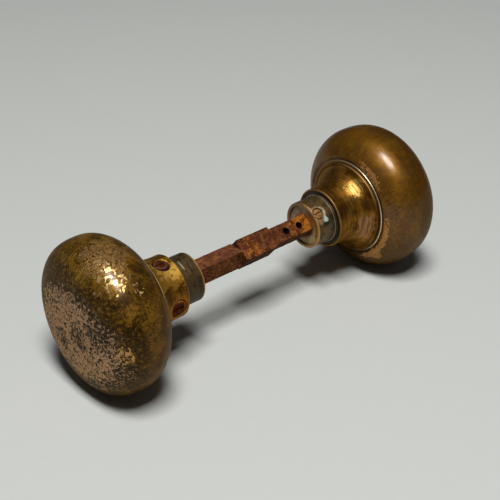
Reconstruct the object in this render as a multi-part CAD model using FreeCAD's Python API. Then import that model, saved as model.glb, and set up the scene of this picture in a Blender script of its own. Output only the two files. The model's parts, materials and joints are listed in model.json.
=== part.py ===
import FreeCAD, Part
import math
import os

os.makedirs("parts", exist_ok=True)

# A pair of round brass knobs on a square swivel spindle. Sizes are millimetres and degrees.
# The spindle lies along X, the outer knob at -X and the inner knob at +X, with the origin
# midway between the two knob faces. "Station" is a place along X. "Depth" is measured in
# each knob from its widest plane towards the middle of the spindle.

# ---- the pair --------------------------------------------------------------------------
collar_gap = 54.8            # clear length of spindle between the two collars
outer_turn = 0.0             # how far the outer half is turned about the spindle
inner_turn = 39.5            # how far the inner half is turned about the spindle

# ---- knob head: two drawn shells lapped at the widest plane ------------------------------
head_radius = 28.575
face_depth = 15.3            # from the widest plane out to the middle of the face
face_power = 3.0             # roundness of the face: 2 is an ellipse, more is flatter
back_depth = 16.8            # half axis of the elliptical back
shell_wall = 1.3
lap_length = 2.5             # the back shell's lap inside the face shell
lap_wall = 0.8
lap_clearance = 0.12
ridge_width = 2.0            # of the roll where the back turns down to the seat of the neck
ridge_height = 0.2           # from the flat seat up to where that roll begins
seat_lip = 0.15              # how far the rolled ridge stands above the seat at its edge

# ---- stack on the seat: backing plate inside, bright ring and bell neck outside ----------
ring_radius = 18.95
ring_height = 0.8
ring_margin = 0.35           # from the ring's edge out to the rolled ridge
ring_step = 1.2              # how far the ring stands out beyond the bell's base
bead_round = 0.34            # rounding of the ring's and the bell base's outer edges
base_height = 0.85
plate_thickness = 1.5
plate_margin = 1.0           # between the plate's edge and the shell round it
quirk_depth = 0.3            # turned groove between the bell's base and its flare
quirk_width = 0.5
flare_power = 1.9            # hollowness of the flare: 2 is an ellipse, 1 a cone
neck_radius = 11.8
neck_length = 14.6           # from the ring to the bell's narrow lip
lip_straight = 3.0           # straight stretch behind the lip
lip_round = 0.35
core_height = 5.7            # cone-shaped hollow inside the bell's foot
core_wall = 2.4

# ---- shank: collar, flange inside the bell's lip, tube riveted over the backing plate ----
collar_radius = 9.2
collar_length = 9.2
collar_round = 0.45
root_radius = 9.6
root_length = 1.0
flange_radius = 11.05
flange_thickness = 1.0
flange_sink = 0.2            # the flange lies this far inside the bell's lip
shank_wall = 1.2
rivet_radius = 10.4
rivet_height = 0.9
fit_clearance = 0.05         # between turned pieces that are pushed together
press_clearance = 0.02       # between pieces that are driven together

# ---- square bush in the shank ------------------------------------------------------------
bush_sink = 0.8              # the bush lies this far inside the collar's end
bush_beyond = 1.5            # the bush runs this far past the end of the bar
socket_clearance = 0.1       # between the bar and each side of the square hole

# ---- spindle -----------------------------------------------------------------------------
bar_side = 7.0
bar_chamfer = 0.35
bar_engagement = 18.9        # how far each bar reaches into its knob, from the collar's end
hub_side = 8.8
hub_chamfer = 0.35
hub_length = 15.1
hub_station = 2.05           # middle of the hub
stem_radius = 3.0
stem_length = 11.7
stem_chamfer = 0.5
swivel_clearance = 0.05      # all round the stem in the hub's bore
swivel_gap = 0.1             # between the outer bar's shoulder and the hub's end
bore_beyond = 0.4            # the bore runs this far past the end of the stem
pin_radius = 1.1
pin_station = 2.6
pin_sink = 0.06              # the pin's end lies this far under the hub's face
groove_depth = 0.7
groove_clearance = 0.05      # each side of the pin in the stem's groove
pin_tip_gap = 0.15           # between the pin's tip and the bottom of the groove

# ---- tapped holes and the screws ---------------------------------------------------------
hole_radius = 1.35
hole_pitch = 6.5
hole_count = 3
side_screw_setback = 2.5     # from the collar's end to the side screw
side_screw_clearance = 0.05
side_head_radius = 2.15
side_head_height = 1.3
side_head_sink = 0.35        # the head lies this far under the collar's surface
side_recess_radius = 2.4
side_screw_reach = 0.4       # how far the screw passes the middle of the bar
neck_screw_radius = 3.1
neck_hole_radius = 3.18
neck_screw_setback = 4.75    # from the bell's lip to the two neck screws
neck_screw_lean = 8.5        # how far round the screws lie from square to the bar's faces
neck_screw_sink = 0.05       # the screws' ends lie this far under the bell's surface
neck_point_radius = 1.6
neck_point_length = 1.4
neck_screw_chamfer = 0.85
slot_width = 0.9
slot_depth = 1.1

# ---- worked out from the above -----------------------------------------------------------
OUTER, INNER = -1, 1

seat_radius = ring_radius + ring_margin
ridge_radius = seat_radius + ridge_width
ridge_depth = back_depth * math.sqrt(1 - (ridge_radius / head_radius) ** 2)
seat_depth = ridge_depth - ridge_height
base_radius = ring_radius - ring_step
plate_radius = seat_radius - shell_wall - plate_margin

ring_depth = seat_depth
bell_depth = ring_depth + ring_height
base_top = bell_depth + base_height
lip_depth = bell_depth + neck_length
flange_face = lip_depth - flange_sink
flange_back = flange_face - flange_thickness
collar_end = flange_face + collar_length
shell_inside = seat_depth - shell_wall
plate_inside = shell_inside - plate_thickness
shank_tail = plate_inside - rivet_height
bush_face = collar_end - bush_sink
bar_depth = collar_end - bar_engagement
bush_tail = bar_depth - bush_beyond
neck_screw_depth = lip_depth - neck_screw_setback
side_screw_depth = collar_end - side_screw_setback

head_station = collar_gap / 2 + collar_end
shank_bore = collar_radius - shank_wall
shank_hole = collar_radius + fit_clearance
flare_radius = base_radius - bead_round - quirk_width
flare_depth = base_top
flare_end = lip_depth - lip_straight
hub_left = hub_station - hub_length / 2
hub_right = hub_station + hub_length / 2
socket_side = bar_side + 2 * socket_clearance
groove_half = pin_radius + groove_clearance
groove_radius = stem_radius - groove_depth
side_shaft_radius = hole_radius - side_screw_clearance

AXIS = FreeCAD.Vector(1, 0, 0)
ORIGIN = FreeCAD.Vector(0, 0, 0)
UP = FreeCAD.Vector(0, 0, 1)


# ---- small tools -------------------------------------------------------------------------
def station(side, depth):
    """The place along X of a depth in the knob on that side."""
    return side * (head_station - depth)


def spot(side, radius, depth):
    """A profile point, above the spindle's axis."""
    return FreeCAD.Vector(station(side, depth), 0, radius)


def line(side, *corners):
    """Straight edges through (radius, depth) corners."""
    points = [spot(side, radius, depth) for radius, depth in corners]
    return [Part.LineSegment(a, b).toShape() for a, b in zip(points, points[1:])]


def arc(side, start, middle, end):
    return [Part.Arc(spot(side, *start), spot(side, *middle), spot(side, *end)).toShape()]


def quarter(side, start, end, centre):
    """A quarter round from start to end about a centre."""
    size = math.hypot(start[0] - centre[0], start[1] - centre[1])
    lean = (start[0] + end[0] - 2 * centre[0], start[1] + end[1] - 2 * centre[1])
    reach = size / math.hypot(*lean)
    middle = (centre[0] + lean[0] * reach, centre[1] + lean[1] * reach)
    return arc(side, start, middle, end)


def curve(side, outline, start_tangent, end_tangent):
    """One smooth edge through an outline, with its end directions as (radius, depth)."""
    points = [spot(side, radius, depth) for radius, depth in outline]
    first = FreeCAD.Vector(-side * start_tangent[1], 0, start_tangent[0])
    last = FreeCAD.Vector(-side * end_tangent[1], 0, end_tangent[0])
    spline = Part.BSplineCurve()
    spline.interpolate(Points=points, InitialTangent=first, FinalTangent=last)
    return [spline.toShape()]


def dome(radius, depth, power, end_radius, steps):
    """Outline of a dome from its widest plane to an end radius; depth may be negative."""
    rise = (1 - (end_radius / radius) ** power) ** (1 / power)
    last = math.atan2(rise, end_radius / radius)
    outline = []
    for step in range(steps + 1):
        angle = last * step / steps
        across, along = math.cos(angle), math.sin(angle)
        size = (across ** power + along ** power) ** (-1 / power)
        outline.append((radius * across * size, depth * along * size))
    return outline


def bell_radius(depth):
    """Outer radius of the bell neck at a depth on its flare or its straight stretch."""
    share = (flare_end - depth) / (flare_end - flare_depth)
    share = min(max(share, 0), 1)
    swell = (1 - share ** flare_power) ** (1 / flare_power)
    return flare_radius - (flare_radius - neck_radius) * swell


def flare(steps):
    """Outline of the bell's hollow flare, from its base towards its lip."""
    outline = []
    for step in range(steps + 1):
        angle = math.pi / 2 * step / steps
        along = math.cos(angle) ** (2 / flare_power)
        outline.append((bell_radius(flare_end - (flare_end - flare_depth) * along),
                        flare_end - (flare_end - flare_depth) * along))
    return outline


def turned(shape, degrees):
    shape.rotate(ORIGIN, AXIS, degrees)
    return shape


def side_turn(side):
    return outer_turn if side == OUTER else inner_turn


def turn_solid(side, edges):
    """Revolves a closed profile about the spindle's axis, from the turn of its own half."""
    face = Part.Face(Part.Wire(Part.__sortEdges__(edges)))
    return turned(face.revolve(ORIGIN, AXIS, 360), side_turn(side))


def radial_rod(x, degrees, radius, low, high):
    """A cylinder that stands out from the spindle's axis, from low to high."""
    rod = Part.makeCylinder(radius, high - low, FreeCAD.Vector(x, 0, low), UP)
    return turned(rod, degrees)


def square_bar(low, high, size, chamfer, degrees):
    """A square bar along X with its long edges chamfered."""
    half = size / 2
    cut = half - chamfer
    ring = [(half, cut), (cut, half), (-cut, half), (-half, cut),
            (-half, -cut), (-cut, -half), (cut, -half), (half, -cut)]
    points = [FreeCAD.Vector(low, y, z) for y, z in ring]
    face = Part.Face(Part.makePolygon(points + points[:1]))
    return turned(face.extrude(FreeCAD.Vector(high - low, 0, 0)), degrees)


def square_hole(low, high, size, degrees):
    block = Part.makeBox(high - low, size, size, FreeCAD.Vector(low, -size / 2, -size / 2))
    return turned(block, degrees)


def neck_screw_turns():
    """The two neck screws press on neighbouring faces of the outer bar, not quite squarely."""
    return [outer_turn + neck_screw_lean, outer_turn + neck_screw_lean + 90]


def drilled_for_screws(side, shape, bore, recess):
    """Drills the knob on one side for its screws: two in the outer neck, one in the inner collar."""
    far = head_radius
    if side == OUTER:
        for degrees in neck_screw_turns():
            shape = shape.cut(radial_rod(station(side, neck_screw_depth), degrees, bore, 0, far))
        return shape
    place = station(side, side_screw_depth)
    shape = shape.cut(radial_rod(place, inner_turn, hole_radius, 0, far))
    floor = collar_radius - side_head_sink - side_head_height
    return shape.cut(radial_rod(place, inner_turn, recess, floor, far))


# ---- the knob's pieces -------------------------------------------------------------------
def head_face(side):
    """Face shell: a flattened dome of even wall, open at the widest plane."""
    inner_radius = head_radius - shell_wall
    outside = dome(head_radius, -face_depth, face_power, 0, 12)
    inside = dome(inner_radius, shell_wall - face_depth, face_power, 0, 12)
    edges = curve(side, outside, (0, -1), (-1, 0))
    edges += line(side, (0, -face_depth), (0, shell_wall - face_depth))
    edges += curve(side, inside, (0, -1), (-1, 0))
    edges += line(side, (inner_radius, 0), (head_radius, 0))
    return turn_solid(side, edges)


def back_lean():
    """Lean of the elliptical back where the ridge begins, from the radial direction."""
    fall = back_depth ** 2 * ridge_radius / (head_radius ** 2 * ridge_depth)
    return math.atan(fall)


def head_back(side):
    """Back shell: elliptical, rolled over a ridge down to the seat, with a lap for the face."""
    inner_radius = head_radius - shell_wall
    lean = back_lean()
    lip = seat_depth + seat_lip
    crest = (ridge_depth + lip) / 2 + ridge_width / 2 * math.tan(lean / 2)
    outside = dome(head_radius, back_depth, 2, ridge_radius, 8)
    edges = curve(side, outside, (0, 1), (-math.cos(lean), math.sin(lean)))
    edges += arc(side, (ridge_radius, ridge_depth), ((ridge_radius + seat_radius) / 2, crest),
                 (seat_radius, lip))
    edges += line(side, (seat_radius, lip), (seat_radius, seat_depth), (shank_hole, seat_depth),
                  (shank_hole, shell_inside))
    knee = seat_radius - shell_wall
    hollow = dome(inner_radius - lap_wall, back_depth - shell_wall, 2, knee, 8)
    hollow_depth = hollow[-1][1]
    edges += line(side, (shank_hole, shell_inside), (knee, shell_inside), (knee, hollow_depth))
    edges += curve(side, hollow, (0, 1), (-math.cos(lean), math.sin(lean)))
    edges += line(side, hollow[0], (hollow[0][0], -lap_length),
                  (inner_radius - lap_clearance, -lap_length),
                  (inner_radius - lap_clearance, 0), (head_radius, 0))
    return turn_solid(side, edges)


def backing_plate(side):
    """Stiff disc behind the seat, which the shank is riveted over."""
    return turn_solid(side, line(side, (shank_hole, plate_inside), (plate_radius, plate_inside),
                                 (plate_radius, shell_inside), (shank_hole, shell_inside),
                                 (shank_hole, plate_inside)))


def neck_ring(side):
    """Bright turned ring between the head and the bell, with a rounded outer edge."""
    top = ring_depth + ring_height
    shoulder = (ring_radius, top - bead_round)
    crown = (ring_radius - bead_round, top)
    edges = line(side, crown, (shank_hole, top), (shank_hole, ring_depth),
                 (ring_radius, ring_depth), shoulder)
    edges += quarter(side, shoulder, crown, (ring_radius - bead_round, top - bead_round))
    return turn_solid(side, edges)


def bell_neck(side):
    """Bell neck: beaded base, turned groove, hollow flare, and a lip bored for the flange."""
    shoulder = (base_radius, base_top - bead_round)
    crown = (base_radius - bead_round, base_top)
    quirk = (base_radius - bead_round - quirk_width / 2, base_top - quirk_depth)
    outline = flare(10)
    edges = line(side, (base_radius, bell_depth), shoulder)
    edges += quarter(side, shoulder, crown, (base_radius - bead_round, base_top - bead_round))
    edges += line(side, crown, quirk, outline[0])
    edges += curve(side, outline, (-1, 0.2), (0, 1))
    edges += line(side, (neck_radius, flare_end), (neck_radius, lip_depth - lip_round))
    edges += quarter(side, (neck_radius, lip_depth - lip_round),
                     (neck_radius - lip_round, lip_depth),
                     (neck_radius - lip_round, lip_depth - lip_round))
    seat = flange_radius + fit_clearance
    edges += line(side, (neck_radius - lip_round, lip_depth), (seat, lip_depth),
                  (seat, flange_back), (shank_hole, flange_back),
                  (shank_hole, bell_depth + core_height), (flare_radius - core_wall, bell_depth),
                  (base_radius, bell_depth))
    bell = turn_solid(side, edges)
    if side == OUTER:
        bell = drilled_for_screws(side, bell, neck_hole_radius, 0)
    return bell


def shank(side):
    """Collar, flange and tube in one piece, its tail riveted over the backing plate."""
    edge = collar_radius - collar_round
    edges = line(side, (edge, collar_end), (shank_bore, collar_end), (shank_bore, shank_tail),
                 (rivet_radius - rivet_height, shank_tail))
    edges += quarter(side, (rivet_radius - rivet_height, shank_tail), (rivet_radius, plate_inside),
                     (rivet_radius - rivet_height, plate_inside))
    edges += line(side, (rivet_radius, plate_inside), (collar_radius, plate_inside),
                  (collar_radius, flange_back), (flange_radius, flange_back),
                  (flange_radius, flange_face), (root_radius, flange_face),
                  (root_radius, flange_face + root_length),
                  (collar_radius, flange_face + root_length),
                  (collar_radius, collar_end - collar_round))
    edges += quarter(side, (collar_radius, collar_end - collar_round), (edge, collar_end),
                     (edge, collar_end - collar_round))
    return drilled_for_screws(side, turn_solid(side, edges), neck_hole_radius,
                              side_recess_radius)


def square_bush(side):
    """Bush driven into the shank, with the square hole that takes the spindle's bar."""
    radius = shank_bore - press_clearance
    bush = turn_solid(side, line(side, (0, bush_tail), (radius, bush_tail), (radius, bush_face),
                                 (0, bush_face), (0, bush_tail)))
    low, high = sorted((station(side, bush_tail), station(side, bush_face)))
    bush = bush.cut(square_hole(low, high, socket_side, side_turn(side)))
    return drilled_for_screws(side, bush, neck_hole_radius, side_recess_radius)


# ---- screws ------------------------------------------------------------------------------
def slotted(screw, x, top, length):
    """Cuts the screwdriver slot across the outer end of a screw that stands along Z."""
    slot = Part.makeBox(length, slot_width, slot_depth,
                        FreeCAD.Vector(x - length / 2, -slot_width / 2, top - slot_depth))
    return screw.cut(slot)


def neck_screw(degrees):
    """Headless set screw whose point bears on one face of the outer bar."""
    x = station(OUTER, neck_screw_depth)
    top = bell_radius(neck_screw_depth) - neck_screw_sink
    lean = math.radians(neck_screw_lean)
    low = (bar_side / 2 + neck_point_radius * math.sin(lean)) / math.cos(lean)
    profile = [(0, low), (neck_point_radius, low), (neck_screw_radius, low + neck_point_length),
               (neck_screw_radius, top - neck_screw_chamfer),
               (neck_screw_radius - neck_screw_chamfer, top), (0, top), (0, low)]
    points = [FreeCAD.Vector(x + radius, 0, z) for radius, z in profile]
    face = Part.Face(Part.makePolygon(points))
    screw = face.revolve(FreeCAD.Vector(x, 0, 0), UP, 360)
    return turned(slotted(screw, x, top, 2 * neck_screw_radius), degrees)


def side_screw():
    """Headed screw through the collar and bush into the nearest tapped hole of the bar."""
    x = station(INNER, side_screw_depth)
    top = collar_radius - side_head_sink
    under = top - side_head_height
    screw = Part.makeCylinder(side_head_radius, side_head_height, FreeCAD.Vector(x, 0, under), UP)
    shaft = Part.makeCylinder(side_shaft_radius, under + side_screw_reach,
                              FreeCAD.Vector(x, 0, -side_screw_reach), UP)
    return turned(slotted(screw.fuse(shaft).removeSplitter(), x, top, 2 * side_head_radius),
                  inner_turn)


# ---- spindle -----------------------------------------------------------------------------
def outer_spindle():
    """Outer bar with a round stem, grooved for the pin, that turns in the inner half's hub."""
    shoulder = hub_left - swivel_gap
    bar = square_bar(station(OUTER, bar_depth), shoulder, bar_side, bar_chamfer, outer_turn)
    tip = hub_left + stem_length
    profile = [(shoulder, 0), (shoulder, stem_radius), (pin_station - groove_half, stem_radius),
               (pin_station - groove_half, groove_radius),
               (pin_station + groove_half, groove_radius),
               (pin_station + groove_half, stem_radius), (tip - stem_chamfer, stem_radius),
               (tip, stem_radius - stem_chamfer), (tip, 0), (shoulder, 0)]
    points = [FreeCAD.Vector(x, 0, radius) for x, radius in profile]
    stem = Part.Face(Part.makePolygon(points)).revolve(ORIGIN, AXIS, 360)
    return bar.fuse(stem).removeSplitter()


def inner_spindle():
    """Inner bar with its thick hub, bored for the stem and the pin, and its tapped holes."""
    bar = square_bar(hub_right, station(INNER, bar_depth), bar_side, bar_chamfer, inner_turn)
    hub = square_bar(hub_left, hub_right, hub_side, hub_chamfer, inner_turn)
    spindle = hub.fuse(bar).removeSplitter()
    bore = Part.makeCylinder(stem_radius + swivel_clearance, stem_length + bore_beyond,
                             FreeCAD.Vector(hub_left, 0, 0), AXIS)
    spindle = spindle.cut(bore)
    spindle = spindle.cut(radial_rod(pin_station, inner_turn, pin_radius + press_clearance,
                                     0, hub_side))
    last = station(INNER, side_screw_depth)
    for count in range(hole_count):
        x = last - count * hole_pitch
        spindle = spindle.cut(radial_rod(x, inner_turn, hole_radius, -bar_side, bar_side))
    return spindle


def swivel_pin():
    """Pin driven through the hub's face; its tip runs in the stem's groove."""
    return radial_rod(pin_station, inner_turn, pin_radius, groove_radius + pin_tip_gap,
                      hub_side / 2 - pin_sink)


# ---- the whole set -----------------------------------------------------------------------
KNOB_PIECES = {"head_face": head_face, "head_back": head_back, "backing_plate": backing_plate,
               "neck_ring": neck_ring, "bell_neck": bell_neck, "shank": shank,
               "square_bush": square_bush}


def all_pieces():
    pieces = {}
    for side_name, side in (("outer", OUTER), ("inner", INNER)):
        for name, make in KNOB_PIECES.items():
            pieces[side_name + "_" + name] = make(side)
    for name, degrees in zip(("upper", "lower"), neck_screw_turns()):
        pieces["outer_neck_screw_" + name] = neck_screw(degrees)
    pieces["inner_side_screw"] = side_screw()
    pieces["outer_spindle"] = outer_spindle()
    pieces["inner_spindle"] = inner_spindle()
    pieces["swivel_pin"] = swivel_pin()
    return pieces


for node, shape in all_pieces().items():
    shape.exportStep("parts/" + node + ".step")
    box = shape.BoundBox
    print(f"{node:26s} solids {len(shape.Solids)} valid {shape.isValid()} volume {shape.Volume:9.1f}"
          f" x {box.XMin:7.2f} {box.XMax:7.2f} z {box.ZMin:7.2f} {box.ZMax:7.2f}")
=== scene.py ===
import json
import math
from types import SimpleNamespace

import bmesh
import bpy
from mathutils import Matrix, Vector


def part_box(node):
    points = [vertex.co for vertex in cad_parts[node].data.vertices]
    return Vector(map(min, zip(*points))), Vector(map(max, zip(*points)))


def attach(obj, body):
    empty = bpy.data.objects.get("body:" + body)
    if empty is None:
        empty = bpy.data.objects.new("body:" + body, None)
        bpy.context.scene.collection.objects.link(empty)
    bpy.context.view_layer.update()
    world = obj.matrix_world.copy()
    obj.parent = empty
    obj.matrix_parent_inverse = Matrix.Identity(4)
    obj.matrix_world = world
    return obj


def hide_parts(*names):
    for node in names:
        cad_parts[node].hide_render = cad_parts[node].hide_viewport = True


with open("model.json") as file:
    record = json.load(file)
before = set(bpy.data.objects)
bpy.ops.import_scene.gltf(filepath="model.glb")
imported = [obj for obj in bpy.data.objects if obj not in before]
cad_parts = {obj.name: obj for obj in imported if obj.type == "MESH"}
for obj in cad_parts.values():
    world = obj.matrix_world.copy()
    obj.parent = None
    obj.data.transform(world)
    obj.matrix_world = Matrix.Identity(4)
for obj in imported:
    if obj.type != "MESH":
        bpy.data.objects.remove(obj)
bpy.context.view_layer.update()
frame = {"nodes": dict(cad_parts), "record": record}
scene = bpy.context.scene

# A pair of old brass door knobs on a rusty square spindle. Shapes are worked out in
# millimetres and turned into metres when a piece is finished. "Depth" is measured in each
# knob from its widest plane towards the middle of the spindle, "turn" about the spindle
# from the top towards the viewer's side (-Y).
MM = 0.001
OUTER, INNER = -1, 1
SIDE_NAMES = {OUTER: "outer", INNER: "inner"}


def low(node, axis):
    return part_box(node)[0]["xyz".index(axis)] / MM


def high(node, axis):
    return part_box(node)[1]["xyz".index(axis)] / MM


def begins(piece):
    """The depth at which a piece of the outer knob begins."""
    return head_station + low("outer_" + piece, "x")


def ends(piece):
    """The depth at which a piece of the outer knob ends."""
    return head_station + high("outer_" + piece, "x")


def station_and_radius(node):
    """Where a screw or pin stands on the spindle, and how wide it is."""
    first, last = low(node, "x"), high(node, "x")
    return (first + last) / 2, (last - first) / 2


def mount(name):
    return next(row for row in frame["record"]["mounts"] if row["name"] == name)


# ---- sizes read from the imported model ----
head_radius = high("outer_head_face", "y")
head_station = -high("outer_head_face", "x")
face_depth = -begins("head_face")
lap_length = -begins("head_back")
ring_radius = high("outer_neck_ring", "y")
ring_depth = begins("neck_ring")
bell_depth = begins("bell_neck")
lip_depth = ends("bell_neck")
base_radius = high("outer_bell_neck", "y")
flange_radius = high("outer_shank", "y")
shank_tail = begins("shank")
collar_end = ends("shank")
collar_radius = mount("outer_collar")["dims"]["r_mm"]
bush_tail = begins("square_bush")
bush_face = ends("square_bush")
plate_inside = begins("backing_plate")
shell_inside = ends("backing_plate")
neck_screw_station, neck_screw_radius = station_and_radius("outer_neck_screw_upper")
side_screw_station, side_head_radius = station_and_radius("inner_side_screw")
pin_station, pin_radius = station_and_radius("swivel_pin")
near_hole = mount("adjusting_hole_near_knob")
hole_stations = [row["pos_m"][0] / MM for row in (near_hole, mount("adjusting_hole_near_hub"))]
hole_radius = near_hole["dims"]["r_mm"]
inner_turn = math.degrees(math.atan2(-near_hole["axis"][1], near_hole["axis"][2]))
bar_end = high("inner_spindle", "x")
hub_left = low("inner_spindle", "x")
stem_tip = high("outer_spindle", "x")

# ---- sizes that the boxes don't show ----
outer_turn = 0.0
neck_screw_lean = 8.5
face_power = 3.0
back_depth = 16.8
shell_wall = 1.3
lap_wall = 0.8
lap_clearance = 0.12
ridge_width = 2.0
ring_margin = 0.35
seat_lip = 0.15
base_height = 0.85
edge_rounding = 0.34
quirk_depth = 0.3
quirk_width = 0.5
flare_power = 1.9
neck_radius = 11.8
lip_straight = 3.0
core_height = 5.7
core_wall = 2.4
flange_sink = 0.2
flange_thickness = 1.0
root_radius = 9.6
root_length = 1.0
shank_wall = 1.2
rivet_radius = 10.4
rivet_height = 0.9
fit_clearance = 0.05
press_clearance = 0.02
bar_side = 7.0
hub_side = 8.8
hub_length = 15.1
socket_side = 7.2
stem_radius = 3.0
swivel_clearance = 0.05
swivel_gap = 0.1
groove_depth = 0.7
pin_tip_clearance = 0.15
groove_half = pin_radius + 0.05
hole_pitch = 6.5
neck_hole_radius = 3.18
neck_screw_sink = 0.05
neck_screw_chamfer = 0.85
neck_point_radius = 1.6
neck_point_length = 1.4
side_recess_radius = 2.4
side_head_sink = 0.35
side_head_height = 1.3
side_shaft_radius = 1.3
side_screw_reach = 0.4
slot_width = 0.9
slot_depth = 0.55
sharp_angle = 35

seat_radius = ring_radius + ring_margin
ridge_radius = seat_radius + ridge_width
inner_head_radius = head_radius - shell_wall
base_top = bell_depth + base_height
flange_face = lip_depth - flange_sink
flange_back = flange_face - flange_thickness
root_end = flange_face + root_length
shank_bore = collar_radius - shank_wall
shank_hole = collar_radius + fit_clearance
flare_radius = base_radius - edge_rounding - quirk_width
flare_end = lip_depth - lip_straight
hub_right = hub_left + hub_length
groove_radius = stem_radius - groove_depth
neck_screw_turns = {"upper": outer_turn + neck_screw_lean, "lower": outer_turn + neck_screw_lean + 90}


# ---- node trees: short ways to add and reckon with nodes ----
SHADER, GEOMETRY = "ShaderNodeTree", "GeometryNodeTree"
POINT, SHAPE, FINISH = "NodeSocketVector", "NodeSocketGeometry", "NodeSocketMaterial"


class Flow:
    """One output of a node, to be reckoned with like a number."""

    def __init__(self, tree, socket):
        self.tree = tree
        self.socket = socket

    def out(self, name):
        """Another output of the same node."""
        return Flow(self.tree, self.socket.node.outputs[name])

    def reckon(self, operation, *others):
        kind = "ShaderNodeVectorMath" if self.socket.type == "VECTOR" else "ShaderNodeMath"
        return put(self.tree, kind, self, *others, operation=operation)

    def measure(self, operation, *others):
        """A number that comes from vectors, such as a length or distance."""
        return self.reckon(operation, *others).out("Value")

    def __add__(self, other):
        return self.reckon("ADD", other)

    def __sub__(self, other):
        return self.reckon("SUBTRACT", other)

    def __rsub__(self, other):
        return put(self.tree, "ShaderNodeMath", other, self, operation="SUBTRACT")

    def __truediv__(self, other):
        return self.reckon("DIVIDE", other)

    def __rtruediv__(self, other):
        return put(self.tree, "ShaderNodeMath", other, self, operation="DIVIDE")

    def __mul__(self, other):
        if self.socket.type == "VECTOR" and not isinstance(other, tuple):
            return put(self.tree, "ShaderNodeVectorMath", self, Scale=other, operation="SCALE")
        return self.reckon("MULTIPLY", other)

    __radd__ = __add__

    def part(self, axis):
        """The X, Y or Z of a vector."""
        return put(self.tree, "ShaderNodeSeparateXYZ", self).out(axis)

    def step(self, start, end):
        """0 before start, 1 after end, and smooth between; start may be the larger one."""
        return put(self.tree, "ShaderNodeMapRange", self, start, end, 0.0, 1.0,
            interpolation_type="SMOOTHSTEP")


def put(tree, kind, *values, **options):
    """Adds a node and gives its first output.

    Values feed its sockets in order, options with a capital feed the socket of that name,
    and the other options are the node's own settings.
    """
    node = tree.nodes.new(kind)
    for name, value in options.items():
        if name[0].islower():
            setattr(node, name, value)
    sockets = [socket for socket in node.inputs if not socket.is_unavailable]
    for socket, value in zip(sockets, values):
        feed(tree, socket, value)
    for name, value in options.items():
        if name[0].isupper():
            wanted = name.replace("_", " ")
            feed(tree, next(s for s in sockets if s.name == wanted), value)
    outputs = [socket for socket in node.outputs if not socket.is_unavailable]
    return Flow(tree, outputs[0]) if outputs else node


def feed(tree, socket, value):
    if isinstance(value, Flow):
        tree.links.new(value.socket, socket)
    elif socket.type == "RGBA":
        socket.default_value = (*value[:3], 1.0)
    else:
        socket.default_value = value


def vector(tree, x, y, z):
    return put(tree, "ShaderNodeCombineXYZ", x, y, z)


def noise(tree, place, scale, detail=5.0, roughness=0.6):
    return put(tree, "ShaderNodeTexNoise", place, Scale=scale, Detail=detail, Roughness=roughness)


def blend(tree, share, first, second):
    """Mixes two colours; each is a colour or a flow."""
    return put(tree, "ShaderNodeMix", share, first, second, data_type="RGBA")


def largest(first, *others):
    for other in others:
        first = first.reckon("MAXIMUM", other)
    return first


def new_tree(name, kind, **sockets):
    """A node group with named inputs; gives the tree and a flow for each input.

    What is given for an input is its value, or the type of a socket without one.
    """
    tree = bpy.data.node_groups.new(name, kind)
    types = {float: "NodeSocketFloat", int: "NodeSocketInt"}
    for label, value in sockets.items():
        socket_type = types.get(type(value), value)
        item = tree.interface.new_socket(label.replace("_", " "), in_out="INPUT",
            socket_type=socket_type)
        if socket_type != value:
            item.default_value = value
    entry = tree.nodes.new("NodeGroupInput")
    return tree, SimpleNamespace(**{label: Flow(tree, entry.outputs[label.replace("_", " ")])
        for label in sockets})


def give(tree, **outputs):
    """Ends a node group with its named outputs."""
    leave = tree.nodes.new("NodeGroupOutput")
    types = {"VALUE": "NodeSocketFloat", "RGBA": "NodeSocketColor", "GEOMETRY": SHAPE}
    for name, flow in outputs.items():
        tree.interface.new_socket(name, in_out="OUTPUT", socket_type=types[flow.socket.type])
        tree.links.new(flow.socket, leave.inputs[name])
    return tree


# ---- geometry trees: turning on a lathe, and a square bar ----
WEAR = {"Wave_Height": 0.0, "Wave_Width": 6.0, "Line_Height": 0.0, "Line_Pitch": 0.4, "Pit_Depth": 0.0,
    "Pit_Width": 0.8, "Seed": 0.0, "Material": FINISH}


def wear_offset(tree, given):
    """How far the surface stands off its true shape: waves, lines and pits."""
    place = put(tree, "GeometryNodeInputPosition")
    seeded = place + vector(tree, given.Seed, 0.0, 0.0)
    ring_place = vector(tree, place.part("X"), (place * (0.0, 1.0, 1.0)).measure("LENGTH"), 0.0)
    waves = noise(tree, seeded, 1 / given.Wave_Width, 2.0, 0.5)
    lines = noise(tree, ring_place, 1 / given.Line_Pitch, 1.0, 0.5)
    pits = noise(tree, seeded, 1 / given.Pit_Width, 4.0, 0.5).step(0.55, 0.72)
    height = (waves - 0.5) * given.Wave_Height + (lines - 0.5) * given.Line_Height
    return put(tree, "GeometryNodeInputNormal") * (height - pits * given.Pit_Depth)


def swept_grid(tree, line, around):
    """A grid with a row for each point of the line, its column and the row's point."""
    count = put(tree, "GeometryNodeAttributeDomainSize", line)
    grid = put(tree, "GeometryNodeMeshGrid", 1.0, 1.0, count, around + 1)
    index = put(tree, "GeometryNodeInputIndex")
    row = (index / (around + 1)).reckon("FLOOR")
    point = put(tree, "GeometryNodeSampleIndex", line, put(tree, "GeometryNodeInputPosition"), row,
        data_type="FLOAT_VECTOR")
    return grid, index - row * (around + 1), point


def closed_and_worn(tree, given, grid, place):
    """Bends the grid to its place, closes it, wears it and gives it a material."""
    shape = put(tree, "GeometryNodeSetPosition", grid, Position=place)
    shape = put(tree, "GeometryNodeMergeByDistance", shape, Distance=0.001)
    shape = put(tree, "GeometryNodeSetPosition", shape, Offset=wear_offset(tree, given))
    shape = put(tree, "GeometryNodeRealizeInstances", shape)
    shape = put(tree, "GeometryNodeSetMaterial", shape, Material=given.Material)
    return give(tree, Geometry=shape)


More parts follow.
